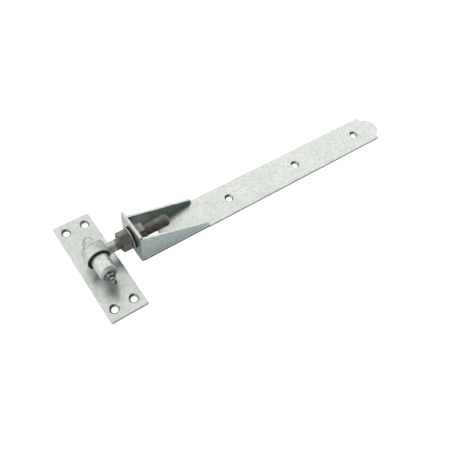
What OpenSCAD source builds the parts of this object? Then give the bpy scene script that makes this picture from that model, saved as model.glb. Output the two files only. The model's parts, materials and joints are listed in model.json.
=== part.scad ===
// Adjustable strap hinge with a greased hook pin, for a heavy gate.
// Everything lies on z = 0, the back of the hook plate and of the strap.
// +X runs along the strap, the pin lies along Y with its free end at -Y, and +Z leaves the mounting face.
// The origin is the middle of the hook plate's back.

/* [Hook plate] */
// Length of the plate, along the pin
plate_l = 160; // [154:1:200]
// Width of the plate
plate_w = 50; // [46:1:60]
// Thickness of the plate
plate_t = 4; // [3:0.5:6]
// Corner radius of the plate
plate_corner_r = 1.5; // [0.5:0.5:4]
// Spacing of the plate holes across the plate
plate_hole_dx = 26; // [22:1:30]
// Spacing of the plate holes along the plate
plate_hole_dy = 130; // [120:1:136]

/* [Screw holes] */
// Diameter of the plain part of each screw hole
screw_d = 8.5; // [6:0.5:9]
// Diameter of each countersink at the front face
sink_d = 13; // [11:0.5:14]

/* [Pin] */
// Diameter of the pin
pin_d = 23; // [20:0.5:24]
// Height of the pin and bolt axes over the back of the plate
axis_z = 26; // [24:1:32]
// Distance from the bolt axis to the end of the full-width pin
pin_reach = 29.5; // [22:0.5:40]
// Length of the tapered lead-in at the free end
lead_in = 5; // [4:0.5:10]
// Diameter of the flat face at the free end
pin_face_d = 19; // [15:0.5:19]
// Diameter of the collar that the eye bears on
collar_d = 30; // [28:0.5:31]
// Thickness of the collar
collar_t = 3; // [2:0.5:5]
// Diameter of the bent neck that joins the pin to the plate
neck_d = 14; // [12:0.5:15]
// Bend radius of the neck, to its centre line
neck_bend_r = 10; // [8:1:14]
// Distance from the bolt axis to the leg of the neck
neck_y = 26; // [24:1:32]

/* [Eye bolt] */
// Outside diameter of the eye
eye_d = 31; // [29:0.5:34]
// Width of the eye
eye_w = 15; // [13:0.5:16]
// Diameter of the plain shank
shank_d = 14.4; // [13:0.1:15]
// Outside diameter of the thread
thread_d = 16; // [14.5:0.5:16]
// Distance from the pin axis to the first thread
thread_x = 25; // [22:0.5:28]
// Distance from the pin axis to the end of the bolt
bolt_end_x = 100; // [92:1:110]

/* [Nuts and washers] */
// Width across the flats of each nut
nut_af = 24; // [22:1:25]
// Height of each nut
nut_h = 13; // [11:0.5:14]
// Outside diameter of the steel washer
washer_d = 30; // [28:0.5:32]
// Thickness of the steel washer
washer_t = 1.2; // [1:0.2:3]
// Outside diameter of the black washer
pad_d = 29; // [27:0.5:31]
// Thickness of the black washer
pad_t = 2.6; // [1:0.2:3]

/* [Strap] */
// Width of the strap
strap_w = 50; // [48:1:60]
// Thickness of the strap, its wings and the end plate
strap_t = 4; // [3:0.5:4]
// Distance from the pin axis to the front of the end plate
box_x = 48; // [46:0.5:52]
// Distance from the pin axis to the square end of the strap
strap_end_x = 472; // [460:1:500]
// Radius of the round lobe at the end of the strap
lobe_r = 17.5; // [14:0.5:20]
// Length of the lobe past the square end
lobe_reach = 14; // [8:0.5:16]
// Distance from the pin axis to the first strap hole
strap_hole_x = 200; // [180:1:205]
// Pitch of the strap holes
strap_hole_pitch = 120; // [110:1:122]

/* [Wings and end plate] */
// Height of the wings at the end plate
wing_h = 43; // [38:0.5:46]
// Height of the wings where their tips turn down
wing_tip_h = 12; // [8:0.5:16]
// Distance from the pin axis to the wing tips
wing_tip_x = 150; // [130:1:160]
// Angle by which each wing leans inwards, in degrees
wing_lean = 4.5; // [0:0.5:5.5]
// Outside radius of the bend under each wing
bend_r = 4.5; // [4.5:0.5:8]
// Height and width of the end plate
end_plate_size = 50; // [48:1:54]
// Corner radius at the top of the end plate
end_plate_r = 3; // [1:0.5:6]
// Corner radius at the foot of the end plate
end_plate_foot_r = 3; // [1:0.5:6]
// Diameter of the bolt hole in the end plate
bolt_hole_d = 17; // [17:0.5:18]
// Length of the slot in the strap under the bolt
slot_l = 33; // [20:1:40]
// Width of the slot
slot_w = 25; // [16:1:28]
// Leg of the welds behind the end plate
weld_leg = 3; // [2:0.5:3.5]

/* [Seal and grease nipple] */
// Outside diameter of the seal ring
seal_d = 31; // [28:0.5:32]
// Thickness of the seal ring
seal_t = 2.4; // [1.5:0.1:4]
// Diameter of the nipple thread
nipple_thread_d = 10; // [6:1:10]
// Width across the flats of the nipple
nipple_af = 11; // [10:0.5:12]
// Length of the nipple outside the pin
nipple_l = 13.5; // [10:0.5:14]
// Diameter of the nipple head
nipple_head_d = 6.5; // [6:0.1:7]
// Diameter of the check ball
ball_d = 3; // [2.4:0.1:3.4]

/* [Hidden] */

$fn = 96;
// Extra length of every cutting tool
cut = 1;
// Clearance on the radius of every running fit
run_gap = 0.05;
// Gap between faces that turn on each other
face_gap = 0.05;
hex_to_corner = 1 / cos(30);

zinc_grey = [0.74, 0.76, 0.76];
dark_steel = [0.36, 0.34, 0.31];
rubber_black = [0.06, 0.06, 0.06];
nipple_zinc = [0.70, 0.69, 0.64];

// Places along the pin, as distances from the bolt axis: the eye bears on a collar at one side,
// and the seal ring sits at the other side, towards the free end
bearing_y = eye_w / 2 + face_gap;
collar_end_y = bearing_y + collar_t;
bevel_l = 1.2;
pin_end_y = pin_reach + lead_in;
seal_lip = 0.5;

// Grease way: a tapped mouth, a long drilling and one cross hole under the eye
tap_depth = 9;
grease_d = 3;

// Places inside the nipple, from the pin's end face outwards
nipple_foot_y = 1.5 - tap_depth;
nipple_bore_d = 2;
nipple_hex_h = 4;
nipple_neck_d = 5;
nipple_tip_d = 4;
nipple_head_h = 3.4;
mouth_d = 2;
mouth_l = 1.4;
chamber_d = ball_d + 0.4;
ball_y = nipple_l - mouth_l - ball_d / 2;

// Spring under the check ball, with a little end play
spring_wire = 0.5;
spring_d = ball_d - 0.1;
spring_turns = 5;
spring_play = 0.1;
spring_foot_y = 0.5;
spring_sides = 8;
spring_steps_per_turn = 12;

// Places along the bolt
pad_x = box_x - pad_t;
washer_x = pad_x - washer_t;
outer_nut_x = washer_x - face_gap - nut_h;
inner_nut_x = box_x + strap_t + face_gap;
shank_root_x = pin_d / 2 + 1;
shank_cone_l = 8;
nut_chamfer = 1.6;
bolt_chamfer = 1.6;

// Folded channel: middle of each bend, and what is cut from the strap's side view
channel_x = box_x + strap_t;
bend_y = strap_w / 2 - bend_r;
slot_x = channel_x + 4;
slot_corner_r = 1.5;
bend_steps = 8;
tip_turn = 5;
tip_corner = 1.5;

// The welds are three separate beads, which stop short of each other and of the wings' top edges
weld_gap = 1;
weld_y = strap_w / 2 - strap_t - weld_leg - weld_gap;
weld_start = 1;
weld_stop = 4;

// Points evenly spaced around a circle
function ring_xy(r, steps) = [for (i = [0:steps - 1]) [r * cos(360 * i / steps), r * sin(360 * i / steps)]];

// Stands its child, drawn along +Z, on the pin's axis and turns it towards the free end
module along_pin(y) {
    translate([0, -y, axis_z]) rotate([90, 0, 0]) children();
}

// Lays its child, drawn along +Z, on the bolt's axis
module along_bolt(x) {
    translate([x, 0, axis_z]) rotate([0, 90, 0]) children();
}

// One countersunk screw hole through stock of thickness t, to be cut away
module screw_hole(t) {
    sink_h = (sink_d - screw_d) / 2;
    translate([0, 0, -cut]) cylinder(h = t + 2 * cut, d = screw_d);
    translate([0, 0, t - sink_h]) cylinder(h = sink_h, d1 = screw_d, d2 = sink_d);
    translate([0, 0, t]) cylinder(h = cut, d = sink_d);
}

// Flat slab with rounded corners, centred on the origin
module rounded_slab(l, w, t, r) {
    translate([r - l / 2, -w / 2, 0]) cube([l - 2 * r, w, t]);
    translate([-l / 2, r - w / 2, 0]) cube([l, w - 2 * r, t]);
    for (sx = [-1, 1], sy = [-1, 1])
        translate([sx * (l / 2 - r), sy * (w / 2 - r), 0]) cylinder(h = t, r = r);
}

// Hook plate, with four screw holes and a hole countersunk at the back for the peened neck
module hook_plate() {
    color(zinc_grey)
    difference() {
        rounded_slab(plate_w, plate_l, plate_t, plate_corner_r);
        for (sx = [-1, 1], sy = [-1, 1])
            translate([sx * plate_hole_dx / 2, sy * plate_hole_dy / 2, 0]) screw_hole(plate_t);
        translate([0, neck_y, -cut]) cylinder(h = plate_t + 2 * cut, d = neck_d);
        translate([0, neck_y, 0]) cylinder(h = plate_t / 2, d1 = neck_d + plate_t, d2 = neck_d);
    }
}

// Leg of the neck, with its tail peened into the back of the plate
module neck_leg() {
    translate([0, neck_y, 0]) {
        cylinder(h = axis_z - neck_bend_r, d = neck_d);
        cylinder(h = plate_t / 2, d1 = neck_d + plate_t, d2 = neck_d);
    }
}

// Quarter bend of the neck
module neck_bend() {
    translate([0, neck_y - neck_bend_r, axis_z - neck_bend_r])
        rotate([90, 0, 90]) rotate_extrude(angle = 90) translate([neck_bend_r, 0]) circle(d = neck_d);
}

// Drillings for grease: tapped mouth, long hole up the pin and a cross hole out to the eye
module grease_way() {
    along_pin(pin_end_y - tap_depth) cylinder(h = tap_depth + cut, d = nipple_thread_d);
    along_pin(0) cylinder(h = pin_end_y, d = grease_d);
    translate([0, 0, axis_z]) cylinder(h = pin_d, d = grease_d);
}

// Hook: pin with a tapered lead-in, collar, bent neck and peened tail, drilled for grease
module hook_pin() {
    color(zinc_grey)
    difference() {
        union() {
            along_pin(-collar_end_y) cylinder(h = collar_end_y + pin_reach, d = pin_d);
            along_pin(pin_reach) cylinder(h = bevel_l, d1 = pin_d, d2 = pin_d - 2 * bevel_l);
            along_pin(pin_reach + bevel_l)
                cylinder(h = lead_in - bevel_l, d1 = pin_d - 2 * bevel_l, d2 = pin_face_d);
            along_pin(-collar_end_y) cylinder(h = collar_t, d = collar_d);
            along_pin(neck_bend_r - neck_y) cylinder(h = neck_y - neck_bend_r - bearing_y, d = neck_d);
            neck_bend();
            neck_leg();
        }
        grease_way();
    }
}

// Seal ring, tight on the pin against the free-end face of the eye
module seal_ring() {
    color(rubber_black)
    difference() {
        union() {
            along_pin(bearing_y) cylinder(h = seal_t - seal_lip, d = seal_d);
            along_pin(bearing_y + seal_t - seal_lip)
                cylinder(h = seal_lip, d1 = seal_d, d2 = seal_d - 2 * seal_lip);
        }
        along_pin(bearing_y - cut) cylinder(h = seal_t + 2 * cut, d = pin_d);
    }
}

// Grease nipple body: thread in the pin, hexagon, neck and head, hollow for the ball and spring
module grease_nipple_body() {
    head_y = nipple_l - nipple_head_h;
    head_step = nipple_head_h / 3;
    neck_r = nipple_neck_d / 2;
    head_r = nipple_head_d / 2;
    color(nipple_zinc)
    difference() {
        union() {
            along_pin(pin_end_y) cylinder(h = nipple_hex_h, d = nipple_af * hex_to_corner, $fn = 6);
            along_pin(pin_end_y) rotate_extrude() polygon([
                [0, nipple_foot_y],
                [nipple_thread_d / 2, nipple_foot_y],
                [nipple_thread_d / 2, nipple_hex_h],
                [neck_r, head_y],
                [head_r, head_y + head_step],
                [head_r, head_y + 2 * head_step],
                [nipple_tip_d / 2, nipple_l],
                [0, nipple_l]
            ]);
        }
        along_pin(pin_end_y) rotate_extrude() polygon([
            [0, -tap_depth],
            [nipple_bore_d / 2, -tap_depth],
            [nipple_bore_d / 2, spring_foot_y],
            [chamber_d / 2, spring_foot_y],
            [chamber_d / 2, ball_y],
            [mouth_d / 2, ball_y + ball_d / 2],
            [mouth_d / 2, nipple_l + cut],
            [0, nipple_l + cut]
        ]);
    }
}

// Check ball, held against the mouth of the nipple
module grease_nipple_ball() {
    color(nipple_zinc)
        along_pin(pin_end_y + ball_y - face_gap) sphere(d = ball_d);
}

// One closed tube that follows the spring's helix
module helix(r, wire_r, height, turns) {
    steps = turns * spring_steps_per_turn;
    points = [
        for (i = [0:steps]) let (a = 360 * i / spring_steps_per_turn, z = height * i / steps)
            for (p = ring_xy(wire_r, spring_sides))
                [(r + p[0]) * cos(a), (r + p[0]) * sin(a), z + p[1]]
    ];
    sides = [
        for (i = [0:steps - 1], j = [0:spring_sides - 1])
            let (k = (j + 1) % spring_sides, a = i * spring_sides, b = a + spring_sides)
                [a + j, b + j, b + k, a + k]
    ];
    first = [for (j = [0:spring_sides - 1]) j];
    last = [for (j = [spring_sides - 1:-1:0]) steps * spring_sides + j];
    polyhedron(points = points, faces = concat(sides, [first, last]));
}

// Spring behind the check ball
module grease_nipple_spring() {
    height = ball_y - ball_d / 2 - spring_foot_y - spring_wire - 3 * spring_play;
    color(dark_steel)
        along_pin(pin_end_y + spring_foot_y + spring_wire / 2 + spring_play)
            helix((spring_d - spring_wire) / 2, spring_wire / 2, height, spring_turns);
}

// Eye bolt: eye, forged neck, plain shank and thread, drawn at the thread's outside diameter
module eye_bolt() {
    color(zinc_grey)
    difference() {
        union() {
            along_pin(-eye_w / 2) cylinder(h = eye_w, d = eye_d);
            along_bolt(shank_root_x) cylinder(h = shank_cone_l, d1 = eye_w, d2 = shank_d);
            along_bolt(shank_root_x) cylinder(h = thread_x - shank_root_x, d = shank_d);
            along_bolt(thread_x) cylinder(h = bolt_end_x - bolt_chamfer - thread_x, d = thread_d);
            along_bolt(bolt_end_x - bolt_chamfer)
                cylinder(h = bolt_chamfer, d1 = thread_d, d2 = thread_d - 2 * bolt_chamfer);
        }
        along_pin(-eye_w / 2 - cut) cylinder(h = eye_w + 2 * cut, r = pin_d / 2 + run_gap);
    }
}

// Hexagon nut along the bolt, chamfered at both ends; turn is the angle of its first corner
module nut(x, turn) {
    corner_r = nut_af * hex_to_corner / 2;
    face_r = corner_r - nut_chamfer;
    side_r = corner_r + nut_chamfer;
    slope = 2 * nut_chamfer * tan(30);
    difference() {
        intersection() {
            along_bolt(x) rotate([0, 0, turn]) cylinder(h = nut_h, r = corner_r, $fn = 6);
            along_bolt(x) rotate_extrude() polygon([
                [0, 0], [face_r, 0], [side_r, slope], [side_r, nut_h - slope], [face_r, nut_h], [0, nut_h]
            ]);
        }
        along_bolt(x - cut) cylinder(h = nut_h + 2 * cut, r = thread_d / 2 + run_gap);
    }
}

// Nut between the eye and the end plate
module outer_nut() {
    color(dark_steel) nut(outer_nut_x, 0);
}

// Nut inside the channel, which locks the end plate against the outer nut
module inner_nut() {
    color(dark_steel) nut(inner_nut_x, 30);
}

// Flat ring of diameter d and thickness t, around the bolt
module washer(x, d, t) {
    difference() {
        along_bolt(x) cylinder(h = t, d = d);
        along_bolt(x - cut) cylinder(h = t + 2 * cut, d = bolt_hole_d);
    }
}

module steel_washer() {
    color(zinc_grey) washer(washer_x, washer_d, washer_t);
}

module black_washer() {
    color(rubber_black) washer(pad_x, pad_d, pad_t);
}

// Points along the bend under one wing, at distance r from its middle, from the strap up to the wing
function bend_arc(r) = [
    for (i = [0:bend_steps])
        let (a = (90 + wing_lean) * i / bend_steps - 90) [bend_y + r * cos(a), bend_r + r * sin(a)]
];

// Section of the channel that the strap and its wings make: the strap's flat bottom, then one side
// around the outside of the bend, up the leaning wing and back down inside, and the other side mirrored
module channel_2d() {
    outside = bend_arc(bend_r);
    inside = bend_arc(bend_r - strap_t);
    up = wing_h * [-sin(wing_lean), cos(wing_lean)];
    side = concat(outside, [outside[bend_steps] + up, inside[bend_steps] + up],
        [for (i = [bend_steps:-1:0]) inside[i]]);
    polygon(concat(side, [for (i = [len(side) - 1:-1:0]) [-side[i][0], side[i][1]]]));
}

// Side view of the wings: full height at the end plate, down to blunt tips
module wing_side_2d() {
    polygon([
        [channel_x, 0],
        [wing_tip_x, 0],
        [wing_tip_x, wing_tip_h - tip_turn],
        [wing_tip_x - tip_corner, wing_tip_h - tip_corner],
        [wing_tip_x - tip_turn, wing_tip_h],
        [channel_x, wing_h]
    ]);
}

// Strap, folded up into two wings at the end plate
module strap() {
    color(zinc_grey)
    difference() {
        union() {
            intersection() {
                translate([channel_x, 0, 0]) rotate([90, 0, 90])
                    linear_extrude(wing_tip_x - channel_x) channel_2d();
                translate([0, strap_w / 2 + cut, 0]) rotate([90, 0, 0])
                    linear_extrude(strap_w + 2 * cut) wing_side_2d();
            }
            translate([wing_tip_x, -strap_w / 2, 0]) cube([strap_end_x - wing_tip_x, strap_w, strap_t]);
            translate([strap_end_x + lobe_reach - lobe_r, 0, 0]) cylinder(h = strap_t, r = lobe_r);
        }
        for (i = [0:2])
            translate([strap_hole_x + i * strap_hole_pitch, 0, 0]) screw_hole(strap_t);
        translate([slot_x + slot_l / 2, 0, -cut])
            rounded_slab(slot_l, slot_w, strap_t + 2 * cut, slot_corner_r);
    }
}

// Quarter of a circle about a centre, from an angle on
function corner_arc(centre, r, from) = [
    for (i = [0:bend_steps]) let (a = from + 90 * i / bend_steps) centre + r * [cos(a), sin(a)]
];

// Half of the end plate's outline, from the middle of its foot round to the middle of its top
function end_plate_side() = concat(
    [[0, 0]],
    corner_arc([end_plate_size / 2 - end_plate_foot_r, end_plate_foot_r], end_plate_foot_r, -90),
    corner_arc([end_plate_size / 2 - end_plate_r, end_plate_size - end_plate_r], end_plate_r, 0),
    [[0, end_plate_size]]
);

// End plate, welded across the folded end of the strap
module end_plate() {
    side = end_plate_side();
    color(zinc_grey)
    difference() {
        translate([box_x, 0, 0]) rotate([90, 0, 90]) linear_extrude(strap_t)
            polygon(concat(side, [for (i = [len(side) - 2:-1:1]) [-side[i][0], side[i][1]]]));
        along_bolt(box_x - cut) cylinder(h = strap_t + 2 * cut, d = bolt_hole_d);
    }
}

// One weld bead with a triangular section, drawn along +Z with its corner at the origin
module weld_bead(l) {
    linear_extrude(l) polygon([[0, 0], [weld_leg, 0], [0, weld_leg]]);
}

// Welds in the corners behind the end plate: one across the strap and one up each wing
module end_plate_welds() {
    inner_y = bend_y + bend_r - strap_t;
    bead_l = wing_h - bend_r - weld_start - weld_stop;
    color(zinc_grey) {
        translate([channel_x, weld_y, strap_t]) rotate([90, 0, 0]) weld_bead(2 * weld_y);
        for (side = [0, 1]) mirror([0, side, 0])
            translate([channel_x, inner_y, bend_r]) rotate([wing_lean, 0, 0])
                translate([0, 0, weld_start]) rotate([0, 0, -90]) weld_bead(bead_l);
    }
}

hook_plate();
hook_pin();
seal_ring();
grease_nipple_body();
grease_nipple_ball();
grease_nipple_spring();
eye_bolt();
outer_nut();
steel_washer();
black_washer();
inner_nut();
strap();
end_plate();
end_plate_welds();
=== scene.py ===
"""Looks of an adjustable strap hinge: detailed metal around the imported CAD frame.

Lengths in this script are millimetres until a mesh is made, and places come from the frame's boxes.
"""

import json
import math

import bmesh
import bpy
from mathutils import Matrix, Vector, noise
from mathutils.geometry import delaunay_2d_cdt


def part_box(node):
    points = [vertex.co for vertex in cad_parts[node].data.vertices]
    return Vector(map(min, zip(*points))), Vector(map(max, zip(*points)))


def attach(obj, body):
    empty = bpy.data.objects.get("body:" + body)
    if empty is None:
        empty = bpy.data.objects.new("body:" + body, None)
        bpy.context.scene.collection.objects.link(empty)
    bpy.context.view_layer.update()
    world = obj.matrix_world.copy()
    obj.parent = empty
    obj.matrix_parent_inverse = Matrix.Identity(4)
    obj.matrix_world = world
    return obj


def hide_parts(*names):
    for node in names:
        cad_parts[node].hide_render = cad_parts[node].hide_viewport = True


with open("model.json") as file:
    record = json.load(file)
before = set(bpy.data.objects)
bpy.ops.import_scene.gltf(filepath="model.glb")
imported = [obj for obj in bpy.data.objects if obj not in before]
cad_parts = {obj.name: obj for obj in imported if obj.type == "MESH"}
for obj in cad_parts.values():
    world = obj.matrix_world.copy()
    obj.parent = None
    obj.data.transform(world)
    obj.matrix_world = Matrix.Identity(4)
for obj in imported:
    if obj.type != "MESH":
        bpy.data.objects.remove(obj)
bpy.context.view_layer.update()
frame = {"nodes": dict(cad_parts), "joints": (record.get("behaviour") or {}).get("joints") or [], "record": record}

MM = 0.001
SIDES = 96
EDGE = 0.5  # radius of a sheared or forged edge under its zinc coat

# ---------------------------------------------------------------- places, from the frame


def box_mm(node):
    """A CAD node's box, as its low and high corners in millimetres."""
    lo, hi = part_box(node)
    return Vector(lo) / MM, Vector(hi) / MM


def mount(name):
    """A mount from the record."""
    return next(m for m in frame["record"]["mounts"] if m["name"] == name)


swing = next(j for j in frame["joints"] if j["name"] == "gate_swing")
AXIS_Z = swing["pos_m"][2] / MM

PLATE_LO, PLATE_HI = box_mm("hook_plate")
HOOK_LO, HOOK_HI = box_mm("hook_pin")
SEAL_LO, SEAL_HI = box_mm("seal_ring")
NIPPLE_LO, NIPPLE_HI = box_mm("grease_nipple_body")
EYE_LO, EYE_HI = box_mm("eye_bolt")
STRAP_LO, STRAP_HI = box_mm("strap")
END_LO, END_HI = box_mm("end_plate")
WELD_LO, WELD_HI = box_mm("end_plate_welds")

SHEET_T = END_HI.x - END_LO.x
PIN_END_Y = -HOOK_LO.y
EYE_R = AXIS_Z - EYE_LO.z
THREAD_R = EYE_HI.y
BOLT_END_X = EYE_HI.x
COLLAR_R = HOOK_HI.x
SEAL_Y = -SEAL_HI.y
SEAL_T = SEAL_HI.y - SEAL_LO.y

# Sizes that the boxes don't give
PIN_R = 11.5
EYE_W = 15.0
EYE_PLAY = 0.05  # between the eye and the collar, and between the eye's bore and the pin
COLLAR_T = 3.0
LEAD_IN = 5.0
PIN_FACE_R = 9.5
NIPPLE_HEX_H = 4.0
NECK_R = 7.0
NECK_Y = HOOK_HI.y - NECK_R - PLATE_HI.z / 2  # the peened tail is wider than the neck's leg
BEND_R = 10.0
BEVEL = 1.2  # step between the pin and its lead-in
SHANK_R = 7.2
THREAD_X = 25.0
THREAD_FADE = 1.6  # over which the thread runs out into the shank
PITCH = 2.0
SCREW_R = mount("plate_holes")["dims"]["hole_r_mm"]
SINK_R = 6.5
NUT_CHAMFER = 1.6
BOLT_HOLE_R = 8.5
FOLD_R = 4.5
END_FOOT_R = 3.0
END_TOP_R = 3.0
WING_LEAN = math.radians(4.5)
WING_TIP_X = 150.0
WING_TIP_H = 12.0
SHOULDER_X = 472.0
SHOULDER_R = 1.2
LOBE_R = 17.5
SLOT_X, SLOT_L, SLOT_W = 56.0, 33.0, 25.0
CORNER_R = 1.5  # of the hook plate and of the slot
GRID_STEP = 6.0  # between the mesh points inside a plate's faces
FOLD_Y = STRAP_HI.y - FOLD_R
FOLD_ANGLE = math.pi / 2 + WING_LEAN
FOLD_LEN = (FOLD_R - SHEET_T / 2) * FOLD_ANGLE
FOLD_STEPS_DEG = (0, 4, 14, 30, 50, 68, 80, 86, 88.19, 88.61, 89.6, 90, 94.5)
SLIT = 0.6  # width of the relief cut at each wing's tip
LEDGE_Z, LEDGE = 3.7, 0.3  # the press leaves a square foot under each wing, with a narrow ledge along its top
LEDGE_RISE = 0.09  # height over which the ledge steps in

# ---------------------------------------------------------------- mesh tools


def arc(cx, cy, r, start, end, steps):
    """Points on an arc about (cx, cy), from one angle to another in degrees."""
    turn = [math.radians(start + (end - start) * i / steps) for i in range(steps + 1)]
    return [(cx + r * math.cos(a), cy + r * math.sin(a)) for a in turn]


def skin(rings, looped=False):
    """Surface through rings of equal length.

    looped joins the last ring to the first; otherwise a fan closes each end.
    """
    n = len(rings[0])
    verts = [p for ring in rings for p in ring]
    faces = []
    for k in range(len(rings) if looped else len(rings) - 1):
        a, b = k * n, (k + 1) % len(rings) * n
        faces += [(a + j, a + (j + 1) % n, b + (j + 1) % n, b + j) for j in range(n)]
    if not looped:
        for start in (0, (len(rings) - 1) * n):
            ring = verts[start:start + n]
            verts.append(tuple(sum(p[i] for p in ring) / n for i in range(3)))
            faces += [(start + j, start + (j + 1) % n, len(verts) - 1) for j in range(n)]
    return verts, faces


def turned(profile, place, sides=SIDES):
    """Rings of a turned shape. A profile point is (radius, height); radius may be a function of the angle."""
    return [[place(r(a) if callable(r) else r, a, h) for a in around(sides)] for r, h in profile]


def on_pin(r, a, h):
    """A point around the pin's axis, h towards the pin's free end."""
    return (r * math.cos(a), -h, AXIS_Z + r * math.sin(a))


def on_bolt(r, a, h):
    """A point around the bolt's axis, h along the bolt."""
    return (h, r * math.cos(a), AXIS_Z + r * math.sin(a))


def around(steps):
    """Equal angles round a full turn."""
    return [2 * math.pi * j / steps for j in range(steps)]


def joined(*parts):
    """Several (verts, faces) pairs as one."""
    verts, faces = [], []
    for v, f in parts:
        faces += [tuple(i + len(verts) for i in face) for face in f]
        verts += v
    return verts, faces


def solid(name, part, weld=1e-4):
    """A closed mesh object from (verts, faces) in millimetres, with its normals outwards."""
    verts, faces = part
    mesh = bpy.data.meshes.new(name)
    mesh.from_pydata([tuple(c * MM for c in v) for v in verts], [], faces)
    bm = bmesh.new()
    bm.from_mesh(mesh)
    bmesh.ops.remove_doubles(bm, verts=bm.verts, dist=weld * MM)
    bmesh.ops.dissolve_degenerate(bm, edges=bm.edges, dist=weld * MM)
    bmesh.ops.recalc_face_normals(bm, faces=bm.faces)
    bm.to_mesh(mesh)
    bm.free()
    obj = bpy.data.objects.new(name, mesh)
    bpy.context.scene.collection.objects.link(obj)
    return obj


def shaded(obj, sharp_deg=42):
    """Smooth shading that stays sharp over an angle and keeps large flats flat."""
    for p in obj.data.polygons:
        p.use_smooth = True
    obj.data.set_sharp_from_angle(angle=math.radians(sharp_deg))
    flats = obj.modifiers.new("flats", "WEIGHTED_NORMAL")
    flats.keep_sharp = True
    return obj


def piece(name, part, body, material, replaces=(), sharp_deg=42):
    """A visual piece from (verts, faces) or an object, tied to its body and the nodes it stands for."""
    obj = part if isinstance(part, bpy.types.Object) else solid(name, part)
    obj.name = name
    obj.data.materials.clear()
    obj.data.materials.append(material)
    shaded(obj, sharp_deg)
    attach(obj, body)
    if replaces:
        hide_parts(*replaces)
    return obj


# ---------------------------------------------------------------- flat stock with holes


def inset(loop, d):
    """A closed 2-D loop moved d to its left, which is into the stock."""
    moved = []
    for i, (x, y) in enumerate(loop):
        (ax, ay), (bx, by) = loop[i - 1], loop[(i + 1) % len(loop)]
        before = Vector((x - ax, y - ay)).normalized()
        after = Vector((bx - x, by - y)).normalized()
        n1, n2 = Vector((-before.y, before.x)), Vector((-after.y, after.x))
        mid = n1 + n2
        mid *= d / max(mid.dot(n1), 1e-6)
        moved.append((x + mid.x, y + mid.y))
    return moved


def edge_profile(t, e=EDGE, steps=3):
    """(inset, height) pairs around a rounded edge, from the back face to the front face."""
    back = [(e - e * math.sin(a), e - e * math.cos(a)) for a in quarter(steps)]
    front = [(e - e * math.cos(a), t - e + e * math.sin(a)) for a in quarter(steps)]
    return back + front


def quarter(steps):
    """Equal angles over a quarter turn."""
    return [math.pi / 2 * i / steps for i in range(steps + 1)]


def sink_profile(t, r, sink_r, e=0.25):
    """(inset, height) pairs down the wall of a countersunk hole, from the back face to the front face."""
    sink_h = sink_r - r
    return [(e, 0), (0, e), (0, t - sink_h - e), (e, t - sink_h + e), (sink_h - e, t - e), (sink_h + e, t)]


def circle(cx, cy, r, sides=64):
    """A hole's loop, clockwise so that the stock is on its left."""
    return [(cx + r * math.cos(a), cy - r * math.sin(a)) for a in around(sides)]


def inside(point, loop):
    """Whether a 2-D point is in a loop, by counting crossings."""
    x, y = point
    odd = False
    for (ax, ay), (bx, by) in zip(loop, loop[1:] + loop[:1]):
        if (ay > y) != (by > y) and x < ax + (y - ay) / (by - ay) * (bx - ax):
            odd = not odd
    return odd


def face_between(loops, extra):
    """Triangles over the area inside the first loop and outside the others, through extra points as well."""
    points, edges = [], []
    for loop in loops:
        start = len(points)
        points += [Vector(p) for p in loop]
        edges += [(start + i, start + (i + 1) % len(loop)) for i in range(len(loop))]
    points += [Vector(p) for p in extra]
    made, _, tris, _, _, _ = delaunay_2d_cdt(points, edges, [], 0, 1e-5)
    kept = []
    for tri in tris:
        middle = sum((made[i] for i in tri), Vector((0, 0))) / len(tri)
        if inside(middle, loops[0]) and not any(inside(middle, loop) for loop in loops[1:]):
            kept.append(tuple(tri))
    return [tuple(p) for p in made], kept


def stock(loops, profiles, t, place, extra=()):
    """Flat stock of thickness t. Each loop's wall follows its profile; place maps (u, v, height) to 3-D."""
    parts = []
    for loop, profile in zip(loops, profiles):
        rings = [[place(u, v, h) for u, v in inset(loop, d)] for d, h in profile]
        verts, faces = skin(rings, looped=True)
        parts.append((verts, faces[:-len(loop)]))
    for end, h in ((0, 0.0), (-1, t)):
        rims = [inset(loop, profile[end][0]) for loop, profile in zip(loops, profiles)]
        room = [p for p in extra if inside(p, rims[0]) and not any(inside(p, rim) for rim in rims[1:])]
        flat, tris = face_between(rims, room)
        parts.append(([place(u, v, h) for u, v in flat], tris))
    return joined(*parts)


def grid(x0, x1, y0, y1, step):
    """Points about step apart inside a rectangle, off its edges."""
    nx, ny = max(1, round((x1 - x0) / step)), max(1, round((y1 - y0) / step))
    return [(x0 + (x1 - x0) * i / nx, y0 + (y1 - y0) * j / ny) for i in range(1, nx) for j in range(1, ny)]


# ---------------------------------------------------------------- materials

ZINC_LIGHT, ZINC_DARK = (0.72, 0.75, 0.735), (0.565, 0.605, 0.60)
HOOK_LIGHT, HOOK_DARK = (0.80, 0.83, 0.815), (0.64, 0.675, 0.665)
WARM_ZINC = (0.66, 0.645, 0.585)
SPECK = (0.36, 0.38, 0.375)
# painted shade for countersinks and the neck's shoulders
CONE_SHADE = (0.22, 0.24, 0.235)
# painted shade on the neck behind the eye and round its foot
NECK_SHADE = (0.46, 0.49, 0.48)
NECK_FOOT_SHADE = (0.24, 0.26, 0.255)
# painted reflection on the pin's lead-in and end face
LEAD_IN_REFLECTED = (0.30, 0.37, 0.37), (0.44, 0.52, 0.52)
# painted highlight line along the wings and painted shade on their foot
HIGHLIGHT_LINE, WING_FOOT_SHADE = (1.0, 1.0, 1.0), (0.16, 0.175, 0.17)
HIGHLIGHT_LINE_Z = 4.1, 7.2  # heights that the pale line lies between, in mm
SHANK_LIGHT, SHANK_DARK = (0.78, 0.80, 0.78), (0.52, 0.54, 0.53)
SHANK_BLOTCH = (0.20, 0.21, 0.20)
THREAD_LIGHT, THREAD_DARK = (0.80, 0.79, 0.72), (0.44, 0.44, 0.40)
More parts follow.
